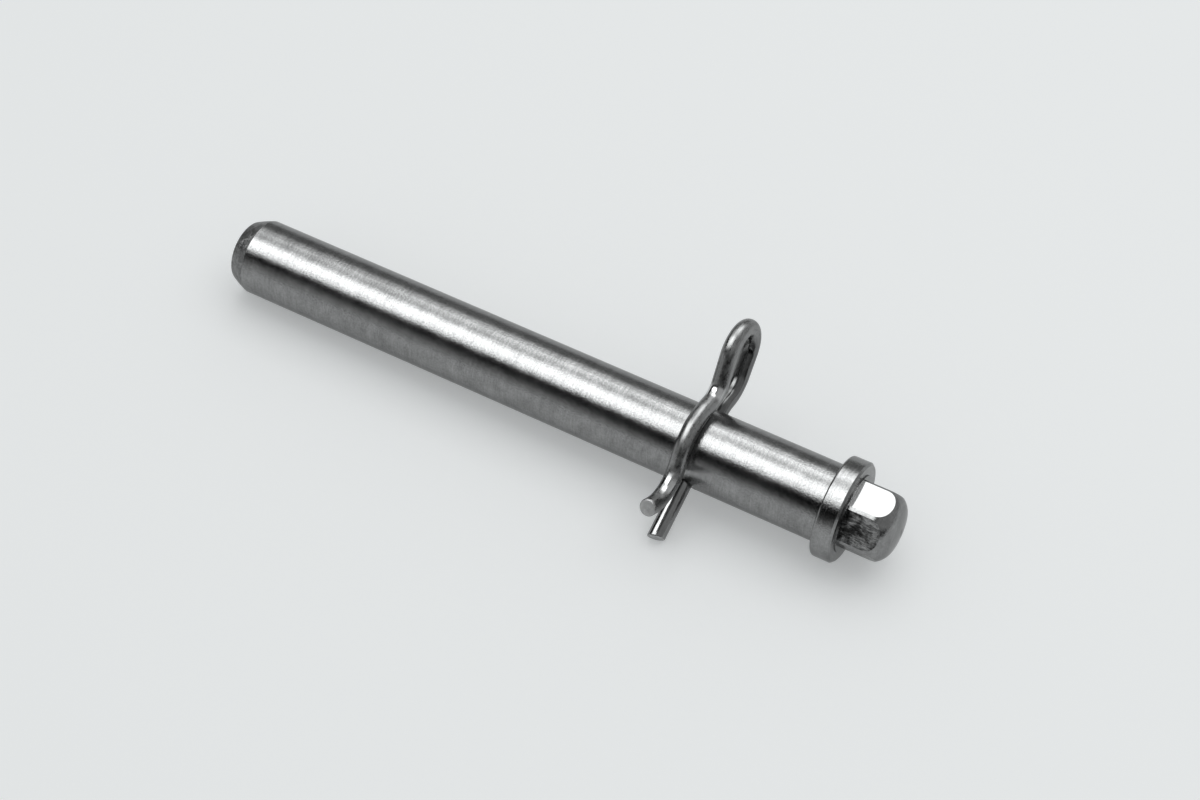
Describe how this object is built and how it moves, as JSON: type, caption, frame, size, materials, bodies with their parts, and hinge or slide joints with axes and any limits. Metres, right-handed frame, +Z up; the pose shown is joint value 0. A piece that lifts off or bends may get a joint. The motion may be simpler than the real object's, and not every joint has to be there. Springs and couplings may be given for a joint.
{
  "type": "hitch pin",
  "caption": "Round steel hitch pin with a stop collar, a hexagonal domed head end and a spring clip through a cross hole near the collar.",
  "frame": {"origin": "on the pin's axis in the plane of the stop collar's bearing face", "axes": "+X along the pin's axis from the tip to the hexagon, +Z up with one hexagon flat facing up, +Y away from the clip leg's free end"},
  "size_m": [0.1493, 0.0436, 0.0297],
  "materials": {
    "pin_steel": "turned and ground bar with fine circumferential marks",
    "collar_steel": "turned ring with bright faces",
    "spring_wire": "drawn spring wire with marks along its length"
  },
  "bodies": {
    "pin": {"pin": "pin_steel", "stop_collar": "collar_steel"},
    "clip": {"clip_leg": "spring_wire"},
    "arm": {"clip_spring_arm": "spring_wire"}
  },
  "joints": [
    {"name": "clip_pull", "type": "slide", "parent": "pin", "child": "clip", "axis": [0, 0.91, 0.4147], "range_m": [0, 0.036], "deforming": ["clip_spring_arm"]},
    {"name": "arm_flex", "type": "hinge", "parent": "clip", "child": "arm", "pos_m": [-0.02857, 0.02177, 0.0153], "axis": [-0.9984, 0.0231, -0.0508], "range_deg": [0, 12], "stiffness_Nm_per_rad": 0.4}
  ]
}
